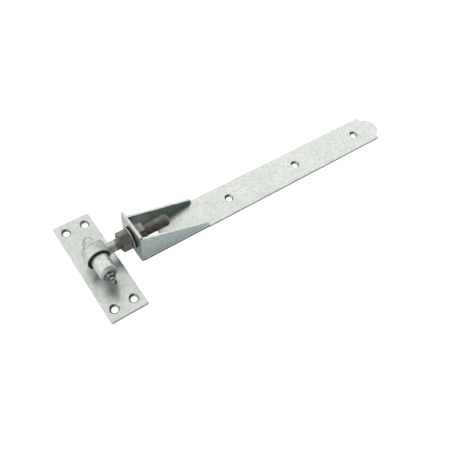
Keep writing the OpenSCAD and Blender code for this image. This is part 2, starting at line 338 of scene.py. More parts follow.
# painted shade in the thread's roots
THREAD_ROOT_SHADE = (0.025, 0.024, 0.020)
NUT_LIGHT, NUT_DARK = (0.37, 0.355, 0.32), (0.18, 0.172, 0.152)
RUBBER_BLACK, RUBBER_BLOOM = (0.006, 0.006, 0.007), (0.022, 0.022, 0.023)
WIRE_DARK, WIRE_LIGHT = (0.28, 0.28, 0.29), (0.5, 0.5, 0.51)


class Nodes:
    """A small helper to build a shader tree."""

    def __init__(self, name):
        self.material = bpy.data.materials.new(name)
        self.material.use_nodes = True
        self.tree = self.material.node_tree
        self.shader = self.tree.nodes["Principled BSDF"]
        coords = self.tree.nodes.new("ShaderNodeTexCoord")
        self.place = coords.outputs["Object"]
        self.normal = coords.outputs["Normal"]

    def link(self, a, b):
        self.tree.links.new(a, b)

    def noise(self, size_mm, detail=4.0, rough=0.55, distortion=0.0):
        n = self.tree.nodes.new("ShaderNodeTexNoise")
        n.inputs["Scale"].default_value = 1 / (size_mm * MM)
        n.inputs["Detail"].default_value = detail
        n.inputs["Roughness"].default_value = rough
        n.inputs["Distortion"].default_value = distortion
        self.link(self.place, n.inputs["Vector"])
        return n.outputs["Fac"]

    def cells(self, size_mm):
        """Voronoi cells: a random grey for each cell."""
        v = self.tree.nodes.new("ShaderNodeTexVoronoi")
        v.inputs["Scale"].default_value = 1 / (size_mm * MM)
        self.link(self.place, v.inputs["Vector"])
        grey = self.tree.nodes.new("ShaderNodeSeparateColor")
        self.link(v.outputs["Color"], grey.inputs["Color"])
        return grey.outputs["Red"]

    def band(self, value, low, high, out_low=0.0, out_high=1.0):
        """A smooth change from out_low to out_high while value goes from low to high."""
        m = self.tree.nodes.new("ShaderNodeMapRange")
        m.interpolation_type = "SMOOTHSTEP"
        m.inputs["From Min"].default_value = low
        m.inputs["From Max"].default_value = high
        m.inputs["To Min"].default_value = out_low
        m.inputs["To Max"].default_value = out_high
        self.link(value, m.inputs["Value"])
        return m.outputs["Result"]

    def band_mm(self, place, low, high, out_low=0.0, out_high=1.0):
        """The same for a place in metres, with low and high in millimetres."""
        return self.band(place, low * MM, high * MM, out_low, out_high)

    def along(self, axis):
        """The place along X, Y or Z, in metres."""
        return self.part(self.place, axis)

    def facing(self, axis):
        """How far the surface of the piece faces along X, Y or Z, from -1 to 1."""
        return self.part(self.normal, axis)

    def part(self, vector, axis):
        s = self.tree.nodes.new("ShaderNodeSeparateXYZ")
        self.link(vector, s.inputs["Vector"])
        return s.outputs[axis]

    def from_line(self, origin, direction):
        """The distance from a line through origin along a unit direction, in metres."""
        away = self.tree.nodes.new("ShaderNodeVectorMath")
        away.operation = "SUBTRACT"
        self.link(self.place, away.inputs[0])
        away.inputs[1].default_value = origin
        cross = self.tree.nodes.new("ShaderNodeVectorMath")
        cross.operation = "CROSS_PRODUCT"
        self.link(away.outputs["Vector"], cross.inputs[0])
        cross.inputs[1].default_value = direction
        length = self.tree.nodes.new("ShaderNodeVectorMath")
        length.operation = "LENGTH"
        self.link(cross.outputs["Vector"], length.inputs[0])
        return length.outputs["Value"]

    def sum(self, a, b, weight=1.0):
        """a + weight * b"""
        m = self.tree.nodes.new("ShaderNodeMath")
        m.operation = "MULTIPLY_ADD"
        self.link(b, m.inputs[0])
        m.inputs[1].default_value = weight
        self.link(a, m.inputs[2])
        return m.outputs[0]

    def times(self, a, b):
        m = self.tree.nodes.new("ShaderNodeMath")
        m.operation = "MULTIPLY"
        self.link(a, m.inputs[0])
        self.link(b, m.inputs[1])
        return m.outputs[0]

    def mix(self, factor, a, b):
        """Colour a where factor is 0 and b where it is 1; either may be a socket."""
        m = self.tree.nodes.new("ShaderNodeMix")
        m.data_type = "RGBA"
        self.link(factor, m.inputs["Factor"])
        for socket, colour in ((m.inputs[6], a), (m.inputs[7], b)):
            if isinstance(colour, tuple):
                socket.default_value = (*colour, 1)
            else:
                self.link(colour, socket)
        return m.outputs[2]

    def bump(self, height, depth_mm, before=None):
        """A normal for bumps depth_mm high, on top of the normal before."""
        b = self.tree.nodes.new("ShaderNodeBump")
        b.inputs["Strength"].default_value = 1.0
        b.inputs["Distance"].default_value = depth_mm * MM
        self.link(height, b.inputs["Height"])
        if before is not None:
            self.link(before, b.inputs["Normal"])
        return b.outputs["Normal"]

    def finish(self, colour, roughness, normal, metallic):
        """Link the shader's inputs and give back the material."""
        self.link(colour, self.shader.inputs["Base Color"])
        self.link(roughness, self.shader.inputs["Roughness"])
        self.link(normal, self.shader.inputs["Normal"])
        self.shader.inputs["Metallic"].default_value = metallic
        return self.material


def galvanised(name, light=ZINC_LIGHT, dark=ZINC_DARK, rough=(0.40, 0.28), metallic=0.95, painted_light_marks=()):
    """Hot-dip zinc: fine grey mottling, faint crystals, dull specks and a slightly uneven coat.

    Each function in the last argument paints shade, a highlight or a reflection into the colour in one place,
    from (nodes, colour, mottle), whether or not it needs the mottle.
    """
    n = Nodes(name)
    clouds = n.noise(26, detail=4, rough=0.55, distortion=0.4)
    mottle = n.noise(4.2, detail=5, rough=0.66, distortion=0.5)
    crystals = n.cells(2.2)
    grain = n.noise(0.7, detail=3)
    shade = n.sum(n.sum(n.sum(n.times(clouds, mottle), mottle, 0.7), crystals, 0.16), grain, 0.40)
    colour = n.mix(n.band(shade, 0.62, 1.10), dark, light)
    warm = n.band(n.noise(30, detail=3), 0.55, 0.74, 0, 0.5)
    colour = n.mix(n.times(warm, n.band(mottle, 0.35, 0.6)), colour, WARM_ZINC)
    specks = n.band(n.noise(1.9, detail=2), 0.68, 0.75, 0, 0.35)
    colour = n.mix(specks, colour, SPECK)
    for light_mark in painted_light_marks:
        colour = light_mark(n, colour, mottle)
    roughness = n.band(n.sum(mottle, crystals, 0.15), 0.35, 0.75, *rough)
    normal = n.bump(n.noise(11, detail=3), 0.05)
    normal = n.bump(n.noise(1.2, detail=3), 0.010, before=normal)
    return n.finish(colour, roughness, normal, metallic)


def on_cones(n):
    """1 on faces that lean about 45 degrees from flat, such as a countersink's cone, and 0 on others."""
    lean = n.facing("Z")
    return n.times(n.band(lean, 0.60, 0.66), n.band(lean, 0.76, 0.82, 1, 0))


def shade_in_cones(n, colour, mottle):
    """Painted shade on faces that lean about 45 degrees, such as countersinks."""
    return n.mix(n.times(on_cones(n), n.band(mottle, 0.3, 0.7, 0.85, 0.65)), colour, CONE_SHADE)


def shaded_neck(n, colour, mottle):
    """Painted shade on the neck behind the eye, darkest on its shoulders and round its foot, where it meets the
    plate.
    """
    shoulders = n.times(on_cones(n), n.band_mm(n.along("Y"), 4, 7))
    colour = n.mix(n.times(shoulders, n.band(mottle, 0.3, 0.7, 0.85, 0.65)), colour, CONE_SHADE)
    behind = n.band_mm(n.along("Y"), 2, 14, 0, 0.35)
    colour = n.mix(behind, colour, NECK_SHADE)
    uneven = n.sum(n.along("Z"), mottle, 1.0 * MM)
    foot = n.band_mm(uneven, PLATE_HI.z + 0.8, PLATE_HI.z + 2.8, 0.75, 0)
    return n.mix(foot, colour, NECK_FOOT_SHADE)


def lead_in_reflection(n, colour, mottle):
    """A painted reflection: dark blue-green on the lead-in and the pin's end face."""
    start = PIN_END_Y - LEAD_IN + BEVEL
    lead_in = n.band_mm(n.along("Y"), -(start + 0.8), -start, 0.85, 0)
    return n.mix(lead_in, colour, n.mix(n.band(mottle, 0.35, 0.65), *LEAD_IN_REFLECTED))


def highlight_and_foot_shade(n, colour, mottle):
    """Painted highlight: a pale line along the outside of each wing; painted shade: a darker foot below it."""
    height = n.sum(n.along("Z"), n.noise(14, detail=2), 0.5 * MM)
    line_start, line_end = HIGHLIGHT_LINE_Z
    off_foot = n.band_mm(height, line_start, line_start + 0.4)
    on_foot = n.band_mm(height, line_start, line_start + 0.4, 1, 0)
    below = n.band_mm(height, line_end - 0.4, line_end, 1, 0)
    outer_r = STRAP_HI.y - 2.4
    outside = n.band_mm(n.from_line((0, 0, 0), (1, 0, 0)), outer_r, outer_r + 0.2)
    wing = n.band_mm(n.along("X"), WING_TIP_X - 1, WING_TIP_X, 1, 0)
    place = n.times(outside, wing)
    colour = n.mix(n.times(n.times(off_foot, below), place), colour, HIGHLIGHT_LINE)
    return n.mix(n.times(on_foot, place), colour, WING_FOOT_SHADE)


def dark_zinc(name):
    """Dull grey-brown zinc on the nuts, brighter in patches."""
    n = Nodes(name)
    clouds = n.noise(5, detail=4, distortion=0.4)
    grain = n.noise(0.7, detail=3)
    colour = n.mix(n.band(n.sum(clouds, grain, 0.3), 0.4, 0.95), NUT_DARK, NUT_LIGHT)
    roughness = n.band(clouds, 0.35, 0.7, 0.55, 0.38)
    normal = n.bump(n.noise(1.6, detail=3), 0.05)
    normal = n.bump(grain, 0.012, before=normal)
    return n.finish(colour, roughness, normal, metallic=0.85)


def bolt_finish(name):
    """Galvanised eye and shank that turn to dull zinc where the thread starts, with painted shade in the thread's
    roots.
    """
    n = Nodes(name)
    clouds = n.noise(9, detail=5, distortion=0.6)
    grain = n.noise(0.9, detail=3)
    shade = n.band(n.sum(clouds, grain, 0.3), 0.4, 0.95)
    zinc = n.mix(shade, SHANK_DARK, SHANK_LIGHT)
    blotch = n.band(n.noise(2.6, detail=4, distortion=0.8), 0.54, 0.64, 0, 0.75)
    on_shank = n.band_mm(n.along("X"), EYE_R - 1, EYE_R + 2)
    zinc = n.mix(n.times(blotch, on_shank), zinc, SHANK_BLOTCH)
    threaded = n.band_mm(n.sum(n.along("X"), clouds, 2 * MM), THREAD_X, THREAD_X + 2)
    colour = n.mix(threaded, zinc, n.mix(shade, THREAD_DARK, THREAD_LIGHT))
    # painted shade: the thread's roots are darkened nearly to black
    off_axis = n.from_line((0, 0, AXIS_Z * MM), (1, 0, 0))
    root = n.band_mm(off_axis, THREAD_R - 0.95, THREAD_R - 0.45, 0.95, 0)
    colour = n.mix(n.times(root, threaded), colour, THREAD_ROOT_SHADE)
    roughness = n.band(clouds, 0.3, 0.7, 0.6, 0.46)
    normal = n.bump(n.noise(2.5, detail=3), 0.06)
    normal = n.bump(grain, 0.012, before=normal)
    return n.finish(colour, roughness, normal, metallic=0.85)


def plated(name, light, dark, rough):
    """Thin zinc plate with faint clouds and a fine grain."""
    n = Nodes(name)
    clouds = n.noise(3, detail=4)
    grain = n.noise(0.5, detail=2)
    colour = n.mix(n.band(n.sum(clouds, grain, 0.3), 0.4, 0.95), dark, light)
    roughness = n.band(clouds, 0.3, 0.7, *rough)
    return n.finish(colour, roughness, n.bump(grain, 0.008), metallic=1.0)


def rubber(name):
    """Black rubber with a dusty bloom."""
    n = Nodes(name)
    bloom = n.noise(4, detail=4)
    grain = n.noise(0.4, detail=2)
    colour = n.mix(n.band(bloom, 0.4, 0.75), RUBBER_BLACK, RUBBER_BLOOM)
    roughness = n.band(bloom, 0.35, 0.7, 0.45, 0.7)
    n.shader.inputs["Specular IOR Level"].default_value = 0.3
    return n.finish(colour, roughness, n.bump(grain, 0.01), metallic=0.0)


def spring_wire(name):
    """Drawn steel wire."""
    n = Nodes(name)
    grain = n.noise(0.3, detail=2)
    colour = n.mix(grain, WIRE_DARK, WIRE_LIGHT)
    return n.finish(colour, n.band(grain, 0.3, 0.7, 0.3, 0.45), n.bump(grain, 0.004), metallic=1.0)


ZINC = galvanised("zinc_on_flat_stock", painted_light_marks=[shade_in_cones])
HOOK_ZINC = galvanised(
    "zinc_on_hook", HOOK_LIGHT, HOOK_DARK, rough=(0.52, 0.40), metallic=0.9, painted_light_marks=[shaded_neck, lead_in_reflection]
)
STRAP_ZINC = galvanised("zinc_on_strap", painted_light_marks=[shade_in_cones, highlight_and_foot_shade])
DULL = dark_zinc("dull_zinc")
BOLT = bolt_finish("bolt_zinc")
PLATED = plated("bright_plate", (0.44, 0.44, 0.42), (0.12, 0.12, 0.115), rough=(0.24, 0.14))
WASHER_ZINC = plated("washer_zinc", (0.74, 0.74, 0.72), (0.58, 0.58, 0.56), rough=(0.42, 0.34))
RUBBER = rubber("black_rubber")
WIRE = spring_wire("spring_wire")

# ---------------------------------------------------------------- hook plate


def rounded_box(x0, x1, y0, y1, r, steps=5):
    """An outline with rounded corners, anticlockwise."""
    return (
        arc(x1 - r, y1 - r, r, 0, 90, steps)
        + arc(x0 + r, y1 - r, r, 90, 180, steps)
        + arc(x0 + r, y0 + r, r, 180, 270, steps)
        + arc(x1 - r, y0 + r, r, 270, 360, steps)
    )


def hook_plate():
    """Screw plate: four countersunk holes, and a neck hole that is coned at the back for the peened tail."""
    t = PLATE_HI.z
    dims = mount("plate_holes")["dims"]
    dx, dy = dims["spacing_x_mm"] / 2, dims["spacing_y_mm"] / 2
    outline = rounded_box(PLATE_LO.x, PLATE_HI.x, PLATE_LO.y, PLATE_HI.y, CORNER_R)
    loops, profiles = [outline], [edge_profile(t)]
    for sx, sy in ((1, 1), (-1, 1), (-1, -1), (1, -1)):
        loops.append(circle(sx * dx, sy * dy, SCREW_R))
        profiles.append(sink_profile(t, SCREW_R, SINK_R))
    tight = 0.05
    loops.append(circle(0, NECK_Y, NECK_R))
    profiles.append([(t / 2, 0), (tight, t / 2), (tight, t)])
    extra = grid(PLATE_LO.x, PLATE_HI.x, PLATE_LO.y, PLATE_HI.y, GRID_STEP)
    part = stock(loops, profiles, t, lambda u, v, h: (u, v, h), extra)
    piece("hook_plate_visual", part, "hook", ZINC, ["hook_plate"])


# ---------------------------------------------------------------- hook


def neck_ring(centre, lean, r):
    """A ring across the neck, where lean is how far the neck has bent down."""
    x, y, z = centre
    return [
        (x + r * math.cos(a), y + r * math.sin(a) * math.sin(lean), z + r * math.sin(a) * math.cos(lean))
        for a in around(SIDES)
    ]


def pin_profile():
    """(radius, place) rows from the pin's end face to the neck; close pairs of rows keep an edge crisp."""
    bearing_y = EYE_W / 2 + EYE_PLAY
    collar_back = bearing_y + COLLAR_T
    lead = PIN_END_Y - LEAD_IN
    face_soft, collar_soft, fillet = 1.1, 0.5, 2.5
    rows = arc(PIN_FACE_R - face_soft, PIN_END_Y - face_soft, face_soft, 90, 10, 5)
    rows += [(PIN_R - BEVEL, lead + BEVEL), (PIN_R - BEVEL + 0.1, lead + BEVEL - 0.12)]
    rows += [(PIN_R - 0.05, lead + 0.06), (PIN_R, lead - 0.1)]
    rows += [(PIN_R, y) for y in (lead - 7, 6, 0, -4, -bearing_y)]
    rows += [(COLLAR_R - collar_soft, -bearing_y)]
    rows += arc(COLLAR_R - collar_soft, -bearing_y - collar_soft, collar_soft, 90, 0, 3)[1:]
    rows += arc(COLLAR_R - collar_soft, -collar_back + collar_soft, collar_soft, 0, -90, 3)
    return rows + arc(NECK_R + fillet, -collar_back - fillet, fillet, 90, 180, 5)


def leg_profile():
    """(radius, height) rows down the neck's leg: weld bead on the plate, then tail peened into the back."""
    t = PLATE_HI.z
    leg_top, bead = 11, 1.5
    rows = [(NECK_R, leg_top), (NECK_R, t + 1.6), (NECK_R + 0.5, t + 0.6)]
    rows += [(NECK_R + bead, t + 0.05), (NECK_R + bead, t - 0.3), (NECK_R, t - 0.4)]
    return rows + [(NECK_R, t / 2), (NECK_R + t / 2 - 0.25, 0.3), (NECK_R + t / 2 - 0.5, 0.12), (3, 0.02)]


def hook():
    """Pin, collar, bent neck and peened tail, as one skin along the bar from its free end to the plate."""
    rings = turned(pin_profile(), on_pin)
    bend_steps = 14
    for i in range(bend_steps + 1):
        lean = math.pi / 2 * i / bend_steps
        y = NECK_Y - BEND_R + BEND_R * math.sin(lean)
        z = AXIS_Z - BEND_R + BEND_R * math.cos(lean)
        rings.append(neck_ring((0, y, z), lean, NECK_R))
    rings += [neck_ring((0, NECK_Y, z), math.pi / 2, r) for r, z in leg_profile()]
    piece("hook_visual", skin(rings), "hook", HOOK_ZINC, ["hook_pin"])


def seal_ring():
    """Rubber ring on the pin: soft, so it hangs a little low and is pinched on its upper side."""
    edge, lip = 0.35, 0.8
    slack, pinch = 0.8, 0.38
    low_side = math.radians(200)
    r0, r1, t = PIN_R + 0.02, SEAL_HI.x - slack, SEAL_T

    def hanging(r, a, h):
        low = math.cos(a - low_side)
        reach = min(1.0, max(0.0, (r - r0) / (r1 - r0)))
        return on_pin(r + slack * low * reach, a, SEAL_Y + (h - SEAL_Y) * (1 - pinch + pinch * low))

    profile = [(r0, SEAL_Y + t - edge), (r0, SEAL_Y + edge), (r0 + edge, SEAL_Y)]
    profile += [(r1 - lip, SEAL_Y)] + arc(r1 - lip, SEAL_Y + lip, lip, -90, 0, 4)[1:]
    profile += arc(r1 - lip, SEAL_Y + t - lip, lip, 0, 90, 4) + [(r0 + edge, SEAL_Y + t)]
    ring = skin(turned(profile, hanging), looped=True)
    piece("seal_ring_visual", ring, "hook", RUBBER, ["seal_ring"])


def hexagon(af, soft=0.0):
    """Radius of a hexagon as a function of the angle, with its first corner at angle 0."""
    def radius(a):
        off = (a + math.pi / 6) % (math.pi / 3) - math.pi / 6
        flat = af / 2 / math.cos(math.pi / 6 - abs(off))
        return min(flat, af / 2 / math.cos(math.pi / 6) - soft)
    return radius


def nipple():
    """Grease nipple: hexagon, neck and head with a mouth, with its ball left in the mouth."""
    across = NIPPLE_HI.z - NIPPLE_LO.z
    base, tip = PIN_END_Y, -NIPPLE_LO.y
    hex_top = base + NIPPLE_HEX_H
    neck_r, head_r, mouth_r = 2.5, 3.25, 1.0
    flats = hexagon(across, soft=0.25)
    small = across / 2 - 0.1

    def chamfered(a):
        return flats(a) * 0.3 + small * 0.7

    rows = [(3.0, base - 0.6), (flats, base + 0.05), (flats, hex_top - 0.9)]
    rows += [(chamfered, hex_top - 0.25), (small - 0.3, hex_top), (3.3, hex_top + 0.05)]
    rows += [(neck_r + 0.25, hex_top + 0.8), (neck_r, hex_top + 2.5), (neck_r, tip - 4.6)]
    rows += [(head_r - 0.35, tip - 4.1), (head_r - 0.05, tip - 3.5)]
    rows += [(head_r, tip - 2.8), (head_r - 0.15, tip - 2.1), (2.5, tip - 0.25), (2.1, tip)]
    rows += [(mouth_r + 0.3, tip), (mouth_r, tip - 0.25), (mouth_r - 0.02, tip - 1.3)]
    body = skin(turned(rows, on_pin))
    piece("grease_nipple_visual", body, "hook", PLATED, ["grease_nipple_body"])


# ---------------------------------------------------------------- eye bolt


def thread_radius(phase):
    """Radius over one pitch of a rolled metric thread: flat crest, straight flanks, flat root."""
    depth = 0.6134 * PITCH
    crest, flank = 0.14, 0.68
    from_crest = abs((phase % 1.0) - 0.5) * 2
    return THREAD_R - depth * min(1.0, max(0.0, (from_crest - crest) / flank))


def threaded_rod(turn_sides, steps=9):
    """Helical surface from the shank to the bolt's end, with a plain circle at each end."""
    end_slope = 1.1  # how fast the chamfer at the bolt's end opens
    length = BOLT_END_X - THREAD_X
    turns = math.ceil(length / PITCH) + 1
    verts, faces = [], []
    for m in range((turns + 1) * turn_sides + 1):
        for p in range(steps):
            x = THREAD_X + PITCH * (m / turn_sides + p / steps - 1)
            x = min(max(x, THREAD_X), BOLT_END_X)
            a = 2 * math.pi * m / turn_sides
            r = thread_radius((x - THREAD_X) / PITCH - m / turn_sides)
            fade = min(1.0, (x - THREAD_X) / THREAD_FADE)
            fade = fade * fade * (3 - 2 * fade)
            r = SHANK_R + (r - SHANK_R) * fade
            r = min(r, THREAD_R - NUT_CHAMFER + (BOLT_END_X - x) * end_slope)
            verts.append(on_bolt(r, a, x))
    last = len(verts) // steps - turn_sides - 1

    def at(m, p):
        return m * steps + p if p < steps else (m + turn_sides) * steps

    for m in range(last):
        for p in range(steps):
            quad = (at(m, p), at(m + 1, p), at(m + 1, p + 1), at(m, p + 1))
            if len({verts[i] for i in quad}) > 2:
                faces.append(quad)
    return verts, faces


def bolt_root(sides):
    """Forged root that blends the shank into the eye, open at its thread end."""
    fillet = 6.0
    fillet_x = math.sqrt((EYE_R + fillet) ** 2 - (SHANK_R + fillet) ** 2)
    inside_eye, steps = 0.70, 9
    eye_half = EYE_W / 2 - 0.2
    rings = []
    for i in range(steps + 1):
        x = fillet_x * (inside_eye + (1 - inside_eye) * i / steps)
        tall = SHANK_R + fillet - math.sqrt(fillet**2 - (fillet_x - x) ** 2)
        wide = SHANK_R + (eye_half - SHANK_R) * (1 - i / steps)
        rings.append([(x, wide * math.cos(a), AXIS_Z + tall * math.sin(a)) for a in around(sides)])
    rings += turned([(SHANK_R, THREAD_X - 4), (SHANK_R, THREAD_X)], on_bolt, sides)
    verts, faces = skin(rings)
    return verts, faces[:-sides]


def bolt_tip(sides):
    """Flat end face of the bolt."""
    profile = [(THREAD_R - NUT_CHAMFER, BOLT_END_X), (3, BOLT_END_X - 0.02)]
    verts, faces = skin(turned(profile, on_bolt, sides))
    return verts, faces[:sides] + faces[2 * sides:]


def eye_ring():
    """The eye, bored for the pin."""
    soft, edge = 1.2, 0.5
    bore = PIN_R + EYE_PLAY
    w = EYE_W / 2
    ring = [(bore, -w + edge), (bore + edge, -w), (EYE_R - soft, -w)]
    ring += arc(EYE_R - soft, -w + soft, soft, -90, 0, 4)[1:]
    ring += arc(EYE_R - soft, w - soft, soft, 0, 90, 4) + [(bore + edge, w), (bore, w - edge)]
    return skin(turned(ring, on_pin), looped=True)


def eye_bolt():
    """Eye, root, shank and rolled thread, joined into one closed mesh."""
    sides = 72
    bolt = solid("bolt_only", joined(bolt_root(sides), threaded_rod(sides), bolt_tip(sides)))
    eye = solid("eye_bolt_visual", eye_ring())
    union = eye.modifiers.new("union", "BOOLEAN")
    union.operation = "UNION"
    union.solver = "EXACT"
    union.object = bolt
    whole = bpy.data.meshes.new_from_object(eye.evaluated_get(bpy.context.evaluated_depsgraph_get()))
    eye.modifiers.clear()
    eye.data = whole
    bpy.data.objects.remove(bolt)
    piece("eye_bolt_visual", eye, "eye", BOLT, ["eye_bolt"], sharp_deg=50)


# ---------------------------------------------------------------- nuts and washers


def nut(node, turn_deg):
    """Hexagon nut with the curved chamfer that a cone cuts on its corners, and a countersunk bore."""
    lo, hi = box_mm(node)
    af = min(hi.y - lo.y, hi.z - lo.z)
    flats = hexagon(af, soft=0.35)
    face_r = af / 2 - 0.4
    bore, sink, sink_h = THREAD_R + 0.04, 0.9, 1.0
    chamfer_slope = math.tan(math.radians(30))
    sides = 144

    def past_face(a):
        return flats(a - math.radians(turn_deg)) - face_r

    def drop(a):
        return max(0.0, past_face(a) * chamfer_slope)

    rings = []
    face_rows = [(bore, sink_h), (bore + sink, 0.0), (face_r - 0.3, 0.0), (face_r, 0.03)]
    corner_rows = [(0.97, 0.0), (1.0, 0.22), (1.0, 1.2)]  # (share of the way to the flats, extra depth)
    for end, way in ((lo.x, 1), (hi.x, -1)):
        half = [[on_bolt(r, a, end + way * h) for a in around(sides)] for r, h in face_rows]
        for share, extra in corner_rows:
            half.append([
                on_bolt(face_r + past_face(a) * share, a, end + way * (drop(a) * share + extra))
                for a in around(sides)
            ])
        rings += half if way == 1 else half[::-1]
    return skin(rings, looped=True)


def washer(node, inner_r, e):
    """A flat ring round the bolt, with its outer edges rounded by e."""
    lo, hi = box_mm(node)
    r1 = hi.y
    profile = [(inner_r, hi.x - e), (inner_r, lo.x + e), (inner_r + e, lo.x), (r1 - e, lo.x)]
    profile += [(r1 - e + e * math.sin(a), lo.x + e - e * math.cos(a)) for a in quarter(3)[1:]]
    profile += [(r1 - e + e * math.cos(a), hi.x - e + e * math.sin(a)) for a in quarter(3)]
    profile += [(inner_r + e, hi.x)]
    return skin(turned(profile, on_bolt), looped=True)


def nuts_and_washers():
    for node, turn_deg in (("outer_nut", 90), ("inner_nut", 60)):
        piece(node + "_visual", nut(node, turn_deg), node, DULL, [node])
    for node, edge, slot, material in (
        ("steel_washer", 0.3, "plated", WASHER_ZINC),
        ("black_washer", 0.6, "rubber", RUBBER),
    ):
        piece(node + "_visual", washer(node, BOLT_HOLE_R, edge), "band", material, [node])


# ---------------------------------------------------------------- strap


def folded(x, s, h):
    """Place of a point of the flat blank once its wings are up: s across the blank, h above its back."""
    side, across = (1, s) if s >= 0 else (-1, -s)
    if across <= FOLD_Y or x > WING_TIP_X + SLIT / 2:
        return (x, s, h)
    a = min(across - FOLD_Y, FOLD_LEN) / FOLD_LEN * FOLD_ANGLE
    past = max(0.0, across - FOLD_Y - FOLD_LEN)
    outer = 1 - h / SHEET_T
    square = 1 - 0.5 * outer  # a power below 1 makes the outside of the fold squarer than an arc
    sideways, upright = math.sin(a), math.cos(a)
    if upright > 0:
        sideways, upright = sideways**square, upright**square
    y = FOLD_Y + (FOLD_R - h) * sideways + past * math.cos(a)
    z = FOLD_R - (FOLD_R - h) * upright + past * math.sin(a)
    rise = min(1.0, max(0.0, (z - LEDGE_Z) / LEDGE_RISE))
    return (x, side * (y - LEDGE * outer * rise), z)


def blank_s(z):
    """How far across the blank a wing's outside reaches height z."""
    start_z = FOLD_R - FOLD_R * math.cos(FOLD_ANGLE)
    return FOLD_Y + FOLD_LEN + (z - start_z) / math.sin(FOLD_ANGLE)


def strap_outline(fold_rows):
    """The blank's outline, anticlockwise: lobe, shoulders, relief cuts, and wings with the folds' rows."""
    x0, w = STRAP_LO.x + 0.05, STRAP_HI.y
    top, tip = blank_s(STRAP_HI.z), blank_s(WING_TIP_H)
    tip_r = 5.0
    lobe_x = STRAP_HI.x - LOBE_R
    lobe_start = math.degrees(math.acos((SHOULDER_X - lobe_x) / LOBE_R))
    right = [(lobe_x + LOBE_R, 0)] + arc(lobe_x, 0, LOBE_R, 0, lobe_start, 16)[1:]
    right += [(SHOULDER_X, w - SHOULDER_R)]
    right += arc(SHOULDER_X - SHOULDER_R, w - SHOULDER_R, SHOULDER_R, 0, 90, 4)[1:]
    right += [(WING_TIP_X + SLIT, w), (WING_TIP_X + SLIT, FOLD_Y - 1), (WING_TIP_X, FOLD_Y - 1)]
    right += [(WING_TIP_X, s) for s in fold_rows]
    slope = math.degrees(math.atan2(top - tip, WING_TIP_X - tip_r - STRAP_LO.x))
    right += arc(WING_TIP_X - tip_r, tip - tip_r * 0.9, tip_r, 0, 90 - slope, 6)
    right += [(x0, top)] + [(x0, s) for s in reversed(fold_rows)]
    return right + [(x, -s) for x, s in reversed(right[1:])]


def strap_points(fold_rows):
    """Mesh points inside the blank's faces: a grid on the flat, and rows along the folds and the wings."""
    points = grid(WING_TIP_X + 4, SHOULDER_X - 2, -STRAP_HI.y, STRAP_HI.y, 7)
    columns = 14
    for k in range(1, columns):
        x = STRAP_LO.x + (WING_TIP_X - STRAP_LO.x) * k / columns
        points += [(x, sign * s) for s in fold_rows for sign in (1, -1)]
        points += [(x, s) for s in (-15.5, -8, 0, 8, 15.5)]
        points += [(x, sign * (blank_s(FOLD_R) + up)) for up in (6, 14, 22) for sign in (1, -1)]
    return points


def strap():
    """Long flat bar, folded up into two wings, with a slot, three countersunk holes and a round lobe."""
    t, edge = SHEET_T, 0.3
    fold_rows = [FOLD_Y + FOLD_LEN * math.radians(a) / FOLD_ANGLE for a in FOLD_STEPS_DEG]
    loops, profiles = [strap_outline(fold_rows)], [edge_profile(t, edge)]
    near = mount("strap_holes_near")
    pitch = near["dims"]["spacing_x_mm"]
    first = near["pos_m"][0] / MM - pitch / 2
    for i in range(3):
        loops.append(circle(first + i * pitch, 0, SCREW_R))
        profiles.append(sink_profile(t, SCREW_R, SINK_R))
    slot = rounded_box(SLOT_X, SLOT_X + SLOT_L, -SLOT_W / 2, SLOT_W / 2, CORNER_R)
    loops.append(slot[::-1])
    profiles.append(edge_profile(t, edge))
    part = stock(loops, profiles, t, folded, strap_points(fold_rows))
    piece("strap_visual", part, "band", STRAP_ZINC, ["strap"])


def end_plate():
    """Plate across the folded end, with the bolt hole."""
    t = SHEET_T
    steps = 6
    y0, y1, z1 = END_LO.y, END_HI.y, END_HI.z
    outline = arc(y1 - END_FOOT_R, END_FOOT_R, END_FOOT_R, -90, 0, steps)
    outline += arc(y1 - END_TOP_R, z1 - END_TOP_R, END_TOP_R, 0, 90, steps)
    outline += arc(y0 + END_TOP_R, z1 - END_TOP_R, END_TOP_R, 90, 180, steps)
    outline += arc(y0 + END_FOOT_R, END_FOOT_R, END_FOOT_R, 180, 270, steps)
    loops = [outline, circle(0, AXIS_Z, BOLT_HOLE_R)]
    profiles = [edge_profile(t, 0.9, 4), edge_profile(t, 0.25)]
    part = stock(loops, profiles, t, lambda u, v, h: (END_HI.x - h, u, v), grid(y0, y1, 0, z1, GRID_STEP))
    piece("end_plate_visual", part, "band", ZINC, ["end_plate"])


# ---------------------------------------------------------------- welds


def bead(start, end, out_a, out_b, leg, seed):
    """A rippled weld bead in a corner from start to end; out_a and out_b lie along the two plates."""
    start, end = Vector(start), Vector(end)
    out_a, out_b = Vector(out_a), Vector(out_b)
    length = (end - start).length
    steps = max(8, round(length / 0.6))
    rings = []
    ripple_l = 1.7
    for i in range(steps + 1):
        share = i / steps
        ripple = abs(math.sin(math.pi * share * length / ripple_l))
        size = leg * (0.80 + 0.13 * ripple + 0.12 * noise.noise(Vector((share * length / 3, seed, 0))))
        size *= min(1.0, 0.35 + min(share, 1 - share) * length / 2.5)
        at = start + (end - start) * share
        ring = [at - (out_a + out_b) * 0.3]
        for k in range(9):
            a = math.pi / 2 * k / 8
            bulge = size * (1 - 0.22 * math.sin(2 * a))
            ring.append(at + out_a * bulge * math.cos(a) + out_b * bulge * math.sin(a))
        rings.append([tuple(p) for p in ring])
    return skin(rings)


